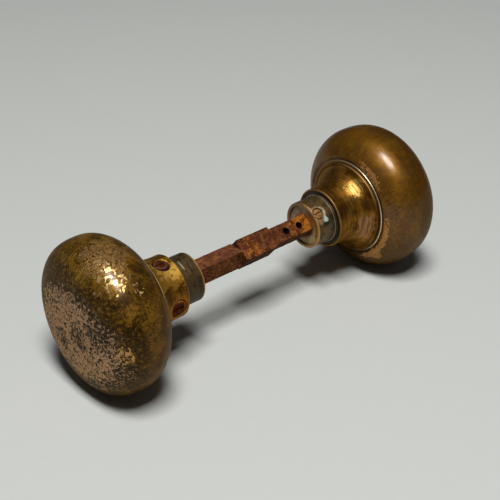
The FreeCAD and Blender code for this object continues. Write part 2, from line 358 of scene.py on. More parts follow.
def lathe_tree():
    """Turns a line of (station, 0, radius) points about the X axis."""
    tree, given = new_tree("Turned Piece", GEOMETRY, Line=SHAPE, Segments=128, **WEAR)
    grid, column, point = swept_grid(tree, given.Line, given.Segments)
    angle = column / given.Segments * math.tau
    radius = point.part("Z")
    place = vector(tree, point.part("X"), 0.0 - angle.reckon("SINE") * radius,
        angle.reckon("COSINE") * radius)
    return closed_and_worn(tree, given, grid, place)


def square_tree():
    """Sweeps a rounded square along X: points are (station, rounding, half side)."""
    tree, given = new_tree("Square Bar", GEOMETRY, Line=SHAPE, Side_Points=24, Turn=0.0, **WEAR)
    grid, column, point = swept_grid(tree, given.Line, given.Side_Points * 4)
    side = (column / given.Side_Points).reckon("FLOOR")
    across = ((column / given.Side_Points - side) * math.pi).reckon("COSINE")
    half, rounding = point.part("Z"), point.part("Y")
    flat = half - rounding
    inward = (across * half).reckon("MINIMUM", flat).reckon("MAXIMUM", 0.0 - flat)
    lean = vector(tree, 0.0, across * half - inward, rounding).reckon("NORMALIZE")
    corner = vector(tree, point.part("X"), inward, flat) + lean * rounding
    place = put(tree, "ShaderNodeVectorRotate", corner, rotation_type="X_AXIS",
        Angle=side * (math.pi / 2) + given.Turn)
    return closed_and_worn(tree, given, grid, place)


def placed(name, data):
    """A new object in the scene."""
    thing = bpy.data.objects.new(name, data)
    scene.collection.objects.link(thing)
    return thing


def plain_mesh(holder, *helpers):
    """The mesh that an object's modifiers make; the object and its helpers go."""
    view = bpy.context.evaluated_depsgraph_get()
    mesh = bpy.data.meshes.new_from_object(holder.evaluated_get(view))
    for item in (holder, *helpers):
        bpy.data.objects.remove(item)
    return mesh


def grown(tree, points, **inputs):
    """The plain mesh, in millimetres, that a geometry tree makes of a line of points."""
    line = bpy.data.meshes.new("line")
    line.from_pydata(points, [(step, step + 1) for step in range(len(points) - 1)], [])
    holder = placed("line", line)
    modifier = holder.modifiers.new("grow", "NODES")
    modifier.node_group = tree
    for item in tree.interface.items_tree:
        value = inputs.get(item.name.replace(" ", "_")) if item.in_out == "INPUT" else None
        if value is not None:
            modifier[item.identifier] = value
    return plain_mesh(holder)


lathe = lathe_tree()
square_sweep = square_tree()


# ---- profiles ----
def softened(corners, step):
    """Points of a closed profile: (radius, depth, rounding) corners, long runs divided."""
    points = []
    for index, (radius, depth, size) in enumerate(corners):
        here = Vector((radius, depth))
        before = Vector(corners[index - 1][:2])
        after = Vector(corners[(index + 1) % len(corners)][:2])
        start = here + (before - here).normalized() * size
        end = here + (after - here).normalized() * size
        for share in (0.0, 0.25, 0.5, 0.75, 1.0) if size else (0.0,):
            points.append(start.lerp(here, share).lerp(here.lerp(end, share), share))
    return divided(points + points[:1], step)


def divided(stops, step):
    """Adds points to the runs of a line that are longer than a step."""
    points = [Vector(stop) for stop in stops]
    full = points[:1]
    for start, end in zip(points, points[1:]):
        count = max(1, math.ceil((end - start).length / step))
        full += [start.lerp(end, share / count) for share in range(1, count + 1)]
    return full


def line_through(stops, step):
    """A line for the lathe through (station, radius) stops."""
    return [(x, 0, radius) for x, radius in divided(stops, step)]


def cylinder_line(low_end, high_end, radius, widening=0.0, chamfer=0.0):
    """Line of a cutter along X, which may widen where it leaves the surface."""
    stops = [(low_end, 0), (low_end, radius), (high_end, radius)]
    if chamfer:
        stops += [(high_end + chamfer, radius + widening), (high_end + chamfer + 4, radius + widening)]
    return line_through(stops + [(stops[-1][0], 0)], 1.0)


def dome(radius, depth, power, end_radius, steps):
    """A dome's outline, from its widest plane to an end radius."""
    rise = (1 - (end_radius / radius) ** power) ** (1 / power)
    last = math.atan2(rise, end_radius / radius)
    outline = []
    for step in range(steps + 1):
        across, along = math.cos(last * step / steps), math.sin(last * step / steps)
        size = (max(across, 0) ** power + along ** power) ** (-1 / power)
        outline.append((radius * across * size, depth * along * size, 0))
    return outline


def bell_radius(depth):
    """Outer radius of the bell neck at a depth on its flare or straight stretch."""
    share = min(max((flare_end - depth) / (flare_end - base_top), 0), 1)
    swell = (1 - share ** flare_power) ** (1 / flare_power)
    return flare_radius - (flare_radius - neck_radius) * swell


def flare(steps):
    """Outline of the bell's hollow flare, from its base towards its lip."""
    outline = []
    for step in range(steps + 1):
        along = math.cos(math.pi / 2 * step / steps) ** (2 / flare_power)
        depth = flare_end - (flare_end - base_top) * along
        outline.append((bell_radius(depth), depth, 0))
    return outline


def turned(side, points, **inputs):
    """Turns a profile of (radius, depth) points on the knob of one side."""
    line = [(side * (head_station - depth), 0, radius) for radius, depth in points]
    return grown(lathe, line, **inputs)


# ---- finishing: cuts, places, shading and the frame ----
def combined(mesh, others, operation):
    """Takes closed meshes out of a mesh, or fuses them to it."""
    piece = placed("piece", mesh)
    tools = [placed("tool", other) for other in others]
    for tool in tools:
        modifier = piece.modifiers.new("combine", "BOOLEAN")
        modifier.operation = operation
        modifier.solver = "EXACT"
        modifier.object = tool
    return plain_mesh(piece, *tools)


def cut(mesh, cutters):
    return combined(mesh, cutters, "DIFFERENCE")


def outward(mesh):
    """Points a closed mesh's faces outwards."""
    shape = bmesh.new()
    shape.from_mesh(mesh)
    bmesh.ops.recalc_face_normals(shape, faces=shape.faces)
    shape.to_mesh(mesh)
    shape.free()
    return mesh


def radial_place(x, degrees):
    """Where a piece stands that leaves the spindle at a station and turn."""
    sine, cosine = math.sin(math.radians(degrees)), math.cos(math.radians(degrees))
    return Matrix(((0, 0, 1, x), (-sine, -cosine, 0, 0), (cosine, -sine, 0, 0), (0, 0, 0, 1)))


def stood(mesh, station, degrees):
    """Stands a mesh that lies along X out from the spindle."""
    mesh.transform(radial_place(station, degrees))
    return mesh


def drill(line, station, degrees, segments):
    """A turned cutter that stands out from the spindle."""
    return outward(stood(grown(lathe, line, Segments=segments), station, degrees))


def at_radius(station, degrees, radius):
    """A point from its station, turn and radius."""
    return tuple(radial_place(station, degrees) @ Vector((radius, 0, 0)))


body_of = {node: body for body, nodes in frame["record"]["behaviour"]["bodies"].items()
    for node in nodes}


def finish_piece(node, mesh, material):
    """Makes a mesh in millimetres into the piece for a node of the frame."""
    mesh.transform(Matrix.Scale(MM, 4))
    outward(mesh)
    mesh.shade_smooth()
    mesh.set_sharp_from_angle(angle=math.radians(sharp_angle))
    mesh.materials.clear()
    mesh.materials.append(material)
    name = "fine_" + node
    mesh.name = name
    piece = placed(name, mesh)
    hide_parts(node)
    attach(piece, body_of[node])


# ---- shader groups ----
def mask(tree, reach, place, given):
    """1 where the reach is well below one, 0 above it, and ragged between."""
    uneven = noise(tree, place, 1 / given.Grain)
    return give(tree, Mask=(reach + (uneven - 0.5) * given.Raggedness * 4).step(1.1, 0.8))


def patch_group():
    """A ragged spot round a centre: 1 in the middle, 0 outside."""
    tree, given = new_tree("Ragged Patch", SHADER, Place=POINT, Centre=POINT, Size=4.0, Raggedness=0.5,
        Grain=1.5)
    reach = given.Place.measure("DISTANCE", given.Centre) / given.Size
    return mask(tree, reach, given.Place + given.Centre, given)


def band_group():
    """A ragged patch that follows the turning: so far along, and so far round."""
    tree, given = new_tree("Ragged Band", SHADER, Place=POINT, Along=0.0, Turn=0.0, Middle=0.0,
        Half_Width=1.0, Middle_Turn=0.0, Half_Turn=30.0, Raggedness=0.5, Grain=1.5)
    along = (given.Along - given.Middle).reckon("ABSOLUTE") / given.Half_Width
    turn = (given.Turn - given.Middle_Turn).reckon("ABSOLUTE") / given.Half_Turn
    return mask(tree, largest(along, turn), given.Place, given)


def fleck_group():
    """Irregular flecks that cover roughly the given share of the surface."""
    tree, given = new_tree("Flecks", SHADER, Place=POINT, Size=1.0, Share=0.3, Softness=0.04, Seed=0.0)
    seeded = given.Place + vector(tree, given.Seed, given.Seed, 0.0)
    spots = put(tree, "ShaderNodeTexNoise", seeded, Scale=1 / given.Size, Detail=6.0, Roughness=0.62,
        Distortion=0.9)
    above = (spots - (0.72 - given.Share * 0.44)) / given.Softness
    return give(tree, Mask=above.step(-0.5, 0.5))


def scratch_group():
    """Fine straight scratches in one direction, with broken ends."""
    tree, given = new_tree("Scratches", SHADER, Place=POINT, Lean=POINT, Spacing=0.5, Length=8.0,
        Share=0.2)
    leaning = put(tree, "ShaderNodeVectorRotate", given.Place, Rotation=given.Lean,
        rotation_type="EULER_XYZ")
    stretched = vector(tree, leaning.part("X") / given.Length, leaning.part("Y") / given.Spacing,
        leaning.part("Z") / given.Spacing)
    above = noise(tree, stretched, 1.0, 2.0, 0.5) - (0.74 - given.Share * 0.4)
    return give(tree, Mask=above.step(0.0, 0.05))


def turning_group():
    """Lines left by turning, which run round the piece and fade and break."""
    tree, given = new_tree("Turning Lines", SHADER, Along=0.0, Radius=0.0, Turn=0.0, Pitch=0.35)
    place = vector(tree, given.Along / given.Pitch, given.Radius / given.Pitch, given.Turn * 0.02)
    return give(tree, Lines=noise(tree, place, 1.0, 2.0))


def round_place_group():
    """Where a point of a knob lies: depth, radius and turn in degrees."""
    tree, given = new_tree("Place On Knob", SHADER, Place=POINT, Side=1.0)
    x, y, z = (given.Place.part(axis) for axis in "XYZ")
    turn = (0.0 - y).reckon("ARCTAN2", z) * (180 / math.pi)
    radius = (given.Place * (0.0, 1.0, 1.0)).measure("LENGTH")
    return give(tree, Depth=head_station - x * given.Side, Radius=radius, Turn=turn)


def rust_group():
    """Rust: red brown ground, orange bloom, dark stains and a pitted height."""
    tree, given = new_tree("Rust", SHADER, Place=POINT, Bloom=0.3, Stain=0.8)
    clouds = noise(tree, given.Place, 0.35)
    grains = noise(tree, given.Place, 2.2, 6.0, 0.7)
    stains = noise(tree, given.Place + (13.0, 7.0, 3.0), 0.6, 4.0, 0.5)
    color = blend(tree, grains.step(0.40, 0.62), (0.035, 0.010, 0.005), (0.15, 0.042, 0.014))
    warm = (clouds * 0.6 + grains * 0.4).step(0.44, 0.60)
    color = blend(tree, warm, color, (0.21, 0.074, 0.026))
    bloom = (clouds * 0.35 + grains * 0.65 + given.Bloom * 0.4).step(0.60, 0.74)
    color = blend(tree, bloom * 0.9, color, (0.46, 0.15, 0.014))
    color = blend(tree, stains.step(0.52, 0.62) * given.Stain, color, (0.022, 0.008, 0.005))
    return give(tree, Color=color, Height=grains * 0.6 + stains * 0.4, Bloom=bloom)


patch = patch_group()
band = band_group()
flecks = fleck_group()
scratches = scratch_group()
turning = turning_group()
round_place = round_place_group()
rust = rust_group()


# ---- materials ----
class Finish:
    """A material in the making, with places in millimetres and its colour so far."""

    def __init__(self, name, side=None, ground=None):
        self.material = bpy.data.materials.new(name)
        self.material.use_nodes = True
        self.tree = self.material.node_tree
        self.tree.nodes.clear()
        self.place = put(self.tree, "ShaderNodeTexCoord").out("Object") * (1 / MM)
        self.color = ground
        if side is not None:
            self.depth = self.use(round_place, Side=float(side))
            self.radius, self.turn = self.depth.out("Radius"), self.depth.out("Turn")

    def use(self, group, **inputs):
        return put(self.tree, "ShaderNodeGroup", node_tree=group, Place=self.place, **inputs)

    def patch(self, centre, size, raggedness, grain):
        return self.use(patch, Centre=centre, Size=size, Raggedness=raggedness, Grain=grain)

    def band(self, along, middle, half_width, middle_turn, half_turn, raggedness, grain):
        return self.use(band, Along=along, Turn=self.turn, Middle=middle, Half_Width=half_width,
            Middle_Turn=middle_turn, Half_Turn=half_turn, Raggedness=raggedness, Grain=grain)

    def flecks(self, size, share, softness=0.04, seed=0.0):
        return self.use(flecks, Size=size, Share=share, Softness=softness, Seed=seed)

    def scratches(self, lean, spacing, length, share):
        return self.use(scratches, Lean=lean, Spacing=spacing, Length=length, Share=share)

    def lines(self, pitch):
        return put(self.tree, "ShaderNodeGroup", node_tree=turning, Along=self.depth,
            Radius=self.radius, Turn=self.turn, Pitch=pitch)

    def noise(self, scale, detail=5.0, roughness=0.6):
        return noise(self.tree, self.place, scale, detail, roughness)

    def mix(self, share, first, second):
        return blend(self.tree, share, first, second)

    def paint(self, share, color):
        """Lays a colour over the colour so far."""
        self.color = self.mix(share, self.color, color)

    def end(self, roughness, height, bump_height, **settings):
        """Joins it all; the bump's height is in millimetres, the settings are the shader's."""
        normal = put(self.tree, "ShaderNodeBump", 1.0, Distance=bump_height * MM, Height=height)
        shader = put(self.tree, "ShaderNodeBsdfPrincipled", Base_Color=self.color, Roughness=roughness,
            Normal=normal, **settings)
        put(self.tree, "ShaderNodeOutputMaterial", Surface=shader)
        return self.material


def outer_head_finish():
    """Outer head: brown patina, its face worn to tan brass full of dark flecks."""
    umber = (0.048, 0.02, 0.002)
    it = Finish("outer_head_patina", OUTER, umber)
    y, z = it.place.part("Y"), it.place.part("Z")
    clouds, mottle, fine = it.noise(0.17, 3), it.noise(0.8, 6, 0.7), it.noise(3.2, 4)
    it.paint((mottle * 0.7 + clouds * 0.3).step(0.42, 0.58), (0.105, 0.05, 0.004))
    golden = (clouds * 0.4 + fine * 0.4 + mottle * 0.2).step(0.48, 0.6)
    it.paint(golden * 0.8, (0.3, 0.145, 0.016))
    # the middle of the face is worn in an oval, and its flecks crowd towards the edge
    across, upright = (y + 1) / 25.2, (z + 2.2) / 19
    reach = (across * across + upright * upright).reckon("SQRT")
    reach = reach + (clouds - 0.5) * 0.4 + (mottle - 0.5) * 0.3
    front = (0 - it.depth).step(1, 5)
    border = reach.step(0.92, 1.02) * reach.step(1.36, 1.12) * mottle.step(0.62, 0.5) * front
    it.paint(border * 0.75, (0.014, 0.007, 0.001))
    region = reach.step(1.06, 0.94) * front
    belt = largest(it.patch((-77.4, -14, 5), 5.5, 0.5, 3), it.patch((-78, -4, -1), 4.5, 0.5, 3),
        it.patch((-78, 6, -6), 4, 0.5, 3))
    crowd = belt * 0.15 + reach.step(0.7, 1) * 0.22 + (mottle - 0.5) * 0.35
    flecked = largest(it.flecks(1.1, crowd + 0.42, 0.03, 3),
        it.scratches((0.5, 0.5, 0), 0.42, 1.8, crowd * 0.8 + 0.4) * 0.9)
    tan = it.mix(fine.step(0.35, 0.7), (0.4, 0.235, 0.135), (0.6, 0.37, 0.225))
    low_gold = (y * 0.6 + z).step(-12, -24) * mottle.step(0.45, 0.6)
    tan = it.mix(low_gold, tan, (0.58, 0.34, 0.13))
    grime = it.mix(clouds.step(0.4, 0.6), (0.028, 0.015, 0.005), (0.024, 0.02, 0.011))
    it.paint(region, it.mix(flecked, tan, grime))
    # bare flecks round the highlight, and other rubbed places
    shine = largest(it.patch((-69.3, -14, 23.8), 6.2, 0.5, 2), it.patch((-63, -20, 20.4), 2, 0.5, 1.5))
    shine = shine * it.flecks(1.8, 0.36, 0.02, 9)
    orange = it.patch((-73, -24.9, 1), 3, 0.7, 1.6) * it.flecks(1.4, 0.5, seed=6)
    it.paint(shine, (0.8, 0.56, 0.22))
    it.paint(orange * 0.85, (0.62, 0.34, 0.11))
    lines = largest(it.scratches((0.3, 0.9, 0.4), 0.35, 14, 0.32),
        it.scratches((-0.9, 0.2, 1.3), 0.35, 14, 0.32))
    rubbed = it.patch((-70.4, 0.8, 27.3), 11, 0.4, 3)
    it.paint(lines * (rubbed * 0.75 + 0.1), (0.5, 0.3, 0.07))
    # thin tan flecks above the highlight, and a glossier place below it
    crown = it.patch((-66, -5.5, 27.8), 8.5, 0.6, 3) * it.flecks(0.8, 0.5, 0.12, 21)
    it.paint(crown * 0.48, (0.46, 0.27, 0.12))
    # painted shade: the face side turned down towards the viewer is darkened outside the worn oval
    painted_shade = (it.depth + (clouds - 0.5) * 8).step(-7, -1) * it.turn.step(55, 95)
    it.paint(painted_shade * (1 - region) * 0.4, umber)
    glossy = it.patch((-68.6, -18.5, 21), 8.5, 0.35, 3)
    # the lip that rolls down to the neck gets a painted highlight: a thin bright line on the turns
    # facing the light
    lip = it.band(it.radius, 21.95, 0.5, 36, 48, 0.25, 1.2) * it.depth.step(6, 9)
    lip = lip * it.turn.step(-10, 25) * it.turn.step(82, 50)
    lip = lip * (fine.step(0.32, 0.55) * 0.5 + 0.5)
    it.paint(lip, (0.96, 0.68, 0.34))
    bare = largest(region * (1 - flecked), shine, orange)
    roughness = 0.45 + mottle * 0.12 - bare * 0.08 + flecked * region * 0.1 - shine * 0.1
    height = fine * 0.3 + mottle * 0.6 - flecked * region * 0.7 - lines * 0.2 - shine * 0.4
    return it.end(roughness, height, 0.05, Metallic=bare * 0.35 + 0.52 - lip * 0.5,
        Specular_IOR_Level=0.18, Specular_Tint=(0.75, 0.6, 0.4), Coat_IOR=1.6,
        Coat_Weight=(1 - largest(bare, lip)) * (glossy * 0.3 + 0.07) + 0.01, Coat_Roughness=0.25)


def inner_head_finish():
    """Inner head: golden brown lacquer, rubbed tan in two places beside the ring."""
    it = Finish("inner_head_lacquer", INNER, (0.115, 0.042, 0.001))
    z = it.place.part("Z")
    clouds, mottle, fine = it.noise(0.08, 3), it.noise(0.7), it.noise(3, 4)
    it.paint((clouds * 0.7 + mottle * 0.3).step(0.35, 0.65), (0.23, 0.098, 0.003))
    it.paint(it.flecks(6, 0.4, 0.3, 4) * 0.6, (0.1, 0.045, 0.012))
    it.paint(it.flecks(1.2, 0.08, 0.05, 14) * 0.6, (0.06, 0.03, 0.01))
    brushed = it.scratches((0.7, 0.4, 0.9), 0.26, 9, 0.46)
    it.paint(brushed * 0.14, (0.42, 0.26, 0.07))
    streaks = it.scratches((0, -1.717, 0.975), 0.7, 14, 0.55)
    upper = it.band(it.radius, 21.5, 0.85, 32, 15, 1, 1.1)
    lower = it.band(it.radius, 21.2, 1, 118, 36, 0.7, 1.6)
    foot = it.patch(at_radius(51.7, 136, 22.3), 3, 0.5, 2)
    rubbed = largest(upper, lower, foot * 0.8) * it.depth.step(6, 9)
    # painted shade: the lower side and the side towards the face are darkened, and their coat is
    # thinner
    below = (z + (mottle - 0.5) * 12).step(6, -20)
    rimward = (it.depth + (mottle - 0.5) * 6).step(7, -3) * z.step(24, 4)
    painted_low_shade = largest(below * 0.8, rimward * 0.6)
    it.paint(painted_low_shade, (0.05, 0.023, 0.003))
    copper = it.mix(fine.step(0.38, 0.6), (0.26, 0.105, 0.03), (0.62, 0.31, 0.105))
    it.paint(rubbed * 0.85, copper)
    roughness = 0.4 + mottle * 0.1 + fine * 0.05 + brushed * 0.06
    height = fine * 0.25 + mottle * 0.4 - brushed * 0.6 - rubbed * 0.4
    return it.end(roughness, height, 0.06, Metallic=0.68, Specular_Tint=(0.8, 0.6, 0.35),
        Specular_IOR_Level=0.15, Coat_IOR=1.65, Coat_Roughness=0.26,
        Coat_Weight=(1 - rubbed) * (0.54 - painted_low_shade * 0.44) * (1 - streaks * 0.7))


def bell_finish(side):
    """Bell neck: golden turned brass with turning lines, rubbed bare in places, with painted highlights
    on its lip and bead.
    """
    it = Finish(SIDE_NAMES[side] + "_bell_turned_brass", side, (0.088, 0.034, 0.003))
    lines, fine_lines = it.lines(0.45), it.lines(0.22)
    clouds, fine = it.noise(0.2, 4), it.noise(2.5, 4)
    it.paint(clouds.step(0.35, 0.65), (0.28, 0.12, 0.009))
    it.paint(lines.step(0.54, 0.64) * 0.5, (0.07, 0.03, 0.007))
    it.paint(lines.step(0.46, 0.36) * 0.3, (0.5, 0.28, 0.07))
    shaded = it.turn.step(5, -50)
    it.paint(shaded * 0.6, (0.15, 0.075, 0.03))
    it.paint(shaded * fine_lines.step(0.52, 0.6) * 0.6, (0.36, 0.22, 0.09))
    if side == INNER:
        worn = it.band(it.depth, 15.4, 2.4, 102, 26, 0.5, 2)
        # a bright patch where the highlight falls: bare brass, partly a painted highlight
        bare = it.patch((47.4, -7, 12.6), 3.6, 0.6, 1.2) * fine_lines.step(0.4, 0.54)
        it.paint(worn * 0.75, (0.42, 0.21, 0.09))
        it.paint(worn * it.lines(0.9).step(0.5, 0.6) * 0.8, (0.12, 0.055, 0.025))
        it.paint(bare * 0.6, (0.8, 0.5, 0.14))
        cut_line = it.band(it.depth, 15.2, 0.28, 31, 9, 0.15, 1)
        it.paint(cut_line * 0.8, (0.06, 0.025, 0.008))
    else:
        gold = it.band(it.depth, 20.5, 6.5, 28, 32, 0.8, 4)
        it.paint(gold * 0.7, (0.62, 0.32, 0.04))
        worn = bare = it.band(it.depth, 22.4, 4.8, 26, 20, 0.75, 1.6)
        it.paint(worn * 0.95, (1, 0.57, 0.1))
        it.paint(worn * it.flecks(1.2, 0.33, 0.03, 5), (0.09, 0.04, 0.012))
        screw_place = at_radius(neck_screw_station, neck_screw_turns["lower"], neck_radius)
        it.paint(it.patch(screw_place, 4.8, 0.4, 2) * 0.6, (0.36, 0.12, 0.02))
    it.paint(it.flecks(0.9, 0.22, 0.05, 16) * 0.45, (0.09, 0.04, 0.01))
    # painted highlights: the lip's edge is painted pale on the side turned to the light, and the bead's
    # edge over part of its turn
    lit_side = (it.turn + (fine - 0.5) * 50).step(-25, 10) * it.turn.step(110, 60)
    lip = it.depth.step(lip_depth - 0.45, lip_depth - 0.1)
    it.paint(lip * (lit_side * 0.7 + 0.15), (0.46, 0.27, 0.1))
    bead = it.radius.step(base_radius - 0.5, base_radius - 0.25) * it.turn.step(-20, 5)
    it.paint(bead * it.turn.step(75, 50) * 0.6, (0.6, 0.33, 0.12))
    roughness = 0.36 + lines * 0.16 + clouds * 0.08 - bare * 0.08 + worn * 0.05
    height = lines * 0.45 + fine_lines * 0.3 + fine * 0.2 + clouds * 0.2 - worn * 0.2
    return it.end(roughness, height, 0.06, Metallic=0.86, Coat_Weight=0.05,
        Specular_Tint=(0.85, 0.65, 0.4), Coat_Roughness=0.3)


def ring_finish():
    """Both neck rings: the standing edge is rubbed bright on top and carries a painted highlight over
    the turns that face the light; the sides are dull.
    """
    it = Finish("ring_rubbed_brass", INNER, (0.15, 0.075, 0.02))
    fine = it.noise(1.6, 5, 0.65)
    station = it.place.part("X").reckon("ABSOLUTE")
    near = head_station - bell_depth
    edge = (it.radius + (fine - 0.5) * 0.3).step(ring_radius - 0.34, ring_radius - 0.18)
    edge = edge * station.step(near + 0.6, near + 0.35)
    lit_turn = (it.turn + (fine - 0.5) * 60).step(-45, 30) * it.turn.step(150, 115)
    it.paint(edge * (lit_turn * 0.75 + 0.25), (0.9, 0.71, 0.44))
    it.paint(fine.step(0.55, 0.68) * 0.6, (0.2, 0.12, 0.05))
    return it.end(0.42 - edge * 0.12 + fine * 0.1, fine, 0.03, Metallic=0.9)


def collar_finish(side):
    """Collar: olive grey tarnish; the inner one is rubbed bare and crusted at its screw."""
    if side == OUTER:
        dull, pale = (0.036, 0.022, 0.005), (0.12, 0.078, 0.028)
    else:
        dull, pale = (0.06, 0.036, 0.01), (0.175, 0.11, 0.044)
    it = Finish(SIDE_NAMES[side] + "_collar_tarnish", side, dull)
    lines, clouds, fine = it.lines(0.5), it.noise(0.3, 5, 0.65), it.noise(2.5, 5, 0.65)
    it.paint(clouds.step(0.35, 0.65), pale)
    it.paint(fine.step(0.58, 0.72) * 0.6, (0.036, 0.036, 0.012))
    it.paint(it.flecks(3, 0.4, 0.2, 8) * 0.5, (0.14, 0.07, 0.03))
    it.paint(lines.step(0.58, 0.68) * 0.45, (0.25, 0.175, 0.075))
    if side == OUTER:
        # painted shade: the side turned down and towards the viewer is darkened
        under = (it.turn + (fine - 0.5) * 60).step(40, 110)
        it.paint(under * 0.6, (0.026, 0.017, 0.005))
        glint = it.band(it.depth, head_station - 33.3, 0.3, 18, 12, 0.4, 0.8)
        it.paint(glint * 0.7, (0.62, 0.5, 0.3))
    # painted shade on the flange inside the bell's lip, and a painted highlight on the root ring's pale
    # corner
    flange = it.radius.step(root_radius - 0.02, root_radius + 0.25)
    it.paint(flange * 0.85, (0.018, 0.015, 0.008))
    corner = it.depth.step(root_end - 0.35, root_end - 0.1)
    corner = corner * it.radius.step(collar_radius + 0.12, collar_radius + 0.3)
    it.paint(corner * 0.7, (0.3, 0.29, 0.22))
    # the end rim is worn golden, with a painted highlight on the side turned to the light
    rim = (it.depth + (fine - 0.5) * 0.5).step(collar_end - 0.9, collar_end - 0.3)
    outside = it.radius.step(shank_bore + 0.25, shank_bore + 0.5)
    lit_side = (it.turn + (fine - 0.5) * 50).step(-20, 25) * 0.6 + 0.25
    it.paint(rim * outside * lit_side, (0.58, 0.3, 0.08))
    it.paint(it.radius.step(shank_bore + 0.4, shank_bore + 0.1), (0.32, 0.2, 0.09))
    crust = rim * 0.3 if side == OUTER else recess_crust(it, fine)
    roughness = 0.46 + clouds * 0.14 + crust * 0.15
    height = lines * 0.5 + fine * 0.35 + crust * 0.9
    return it.end(roughness, height, 0.06, Metallic=0.7 - crust * 0.55)


def recess_crust(it, fine):
    """Paints the crusted edge of the side screw's recess, and gives the crust."""
    def spot(station, degrees, size, raggedness, grain):
        return it.patch(at_radius(station, degrees, collar_radius), size, raggedness, grain)

    away = it.place.measure("DISTANCE", at_radius(side_screw_station, inner_turn, collar_radius))
    edge = (away + (fine - 0.5) * 1.2).step(3.5, 3) * (away + (fine - 0.5)).step(2.1, 2.4)
    cream = edge * spot(32.2, 40, 2.4, 0.4, 1) * it.flecks(1.4, 0.62, 0.06)
    tan = largest(edge * 0.8, spot(28, 28, 1.4, 0.7, 0.8), spot(29.3, 61, 1.3, 0.7, 0.7))
    blob = spot(32, 60, 1.05, 0.6, 0.6)
    it.paint(tan * 0.8, (0.36, 0.22, 0.1))
    it.paint(cream, (0.45, 0.38, 0.24))
    it.paint(spot(31.4, 69, 1.4, 0.5, 0.8) * 0.85, (0.018, 0.032, 0.022))
    it.paint(blob, (0.52, 0.57, 0.52))
    return largest(cream, blob, tan * 0.6)


def bush_finish(side):
    """Bush: brown tarnish with a greenish grey bloom, rust round its square hole, and a painted shadow
    under the bar.
    """
    it = Finish(SIDE_NAMES[side] + "_bush_stained", side, (0.3, 0.19, 0.11))
    clouds, fine = it.noise(0.45, 5, 0.65), it.noise(2.5, 5, 0.65)
    turn = it.turn + (clouds - 0.5) * 100
    it.paint(clouds.step(0.38, 0.62), (0.4, 0.3, 0.17))
    it.paint(turn.step(95, 150) * 0.7, (0.42, 0.31, 0.11))
    warm = turn.step(0, 50) * turn.step(135, 95)
    it.paint(warm * 0.8, (0.42, 0.19, 0.035))
    it.paint(warm * it.flecks(1.5, 0.3, 0.1, 12) * 0.8, (0.06, 0.025, 0.008))
    near = (it.radius + (clouds - 0.5) * 5).step(6.2, 4)
    it.paint(near * 0.8, it.use(rust, Bloom=0.5))
    # painted shadow: the face below the bar is darkened
    under_bar_shadow = (it.radius + (clouds - 0.5) * 2).step(5.5, 4.4) * turn.step(70, 110)
    it.paint(under_bar_shadow * 0.75, (0.02, 0.008, 0.004))
    return it.end(0.55 + fine * 0.15, clouds * 0.5 + fine * 0.5, 0.08, Metallic=0.2)


def from_line(it, station, degrees):
    """Distance from the line that leaves the axis at this station and turn."""
    line = at_radius(0, degrees, 1)
    return (it.place - (station, 0, 0)).reckon("CROSS_PRODUCT", line).measure("LENGTH")


def spindle_finish():
    """Pitted iron; orange rust blooms on the hub and the bar's far end."""
    it = Finish("spindle_rust")
    x, y, z = (it.place.part(axis) for axis in "XYZ")
    fine, uneven = it.noise(4, 6, 0.7), it.noise(1.2)
    far = (x + (it.noise(0.35) - 0.5) * 14).step(10, 28)
    hub = it.patch((-1.5, -4, 3), 4.5, 0.6, 2.5)
    outer_half = x.step(hub_left - 0.1, hub_left - 0.4)
    rusted = it.use(rust, Bloom=far * 0.4 + hub * 0.3 + 0.06, Stain=outer_half * 0.35 + 0.4)
    it.color = rusted
    it.paint(it.patch((-3.9, -3.2, 4.2), 1.5, 0.4, 1.2) * 0.6, (0.1, 0.018, 0.024))
    # painted shade and light: the outer bar's front is darkened, with orange rust patches on it, and
    # its top and the ridge between them are painted paler as lit faces
    edge = bar_side / 2 + (uneven - 0.5) * 0.5
    front = outer_half * (0 - y - edge).step(-0.45, -0.15)
    top = outer_half * (z - edge).step(-0.45, -0.15)
    it.paint(front * uneven.step(0.54, 0.38) * 0.65, (0.026, 0.009, 0.003))
    it.paint(front * uneven.step(0.46, 0.6) * 0.6, (0.2, 0.06, 0.009))
    it.paint(top * (fine.step(0.35, 0.65) * 0.3 + 0.02), (0.3, 0.12, 0.06))
    # painted shade: the inner half's side that is turned down is darkened
    depth = it.place.measure("DOT_PRODUCT", at_radius(0, inner_turn + 90, 1))
    hub_part = x.step(hub_right + 0.1, hub_right - 0.1)
    limit = hub_part * ((hub_side - bar_side) / 2) + bar_side / 2 + (uneven - 0.5) * 0.4
    painted_shade = (depth - limit).step(-0.35, -0.1) * (1 - outer_half)
    it.paint(painted_shade * 0.7, (0.022, 0.008, 0.004))
    # painted shade: the tapped holes are blackened inside
    holes = [from_line(it, side_screw_station - count * hole_pitch, inner_turn) for count in range(3)]
    hole_shade = largest(*[hole.step(hole_radius + 0.1, hole_radius - 0.02) for hole in holes])
    it.paint(hole_shade * (1 - outer_half), (0.008, 0.003, 0.002))
    roughness = 0.62 + fine * 0.2 + rusted.out("Bloom") * 0.1
    return it.end(roughness, rusted.out("Height") * 0.6 + fine * 0.4, 0.2, Metallic=0.1,
        Specular_IOR_Level=0.12, Specular_Tint=(0.8, 0.5, 0.4))


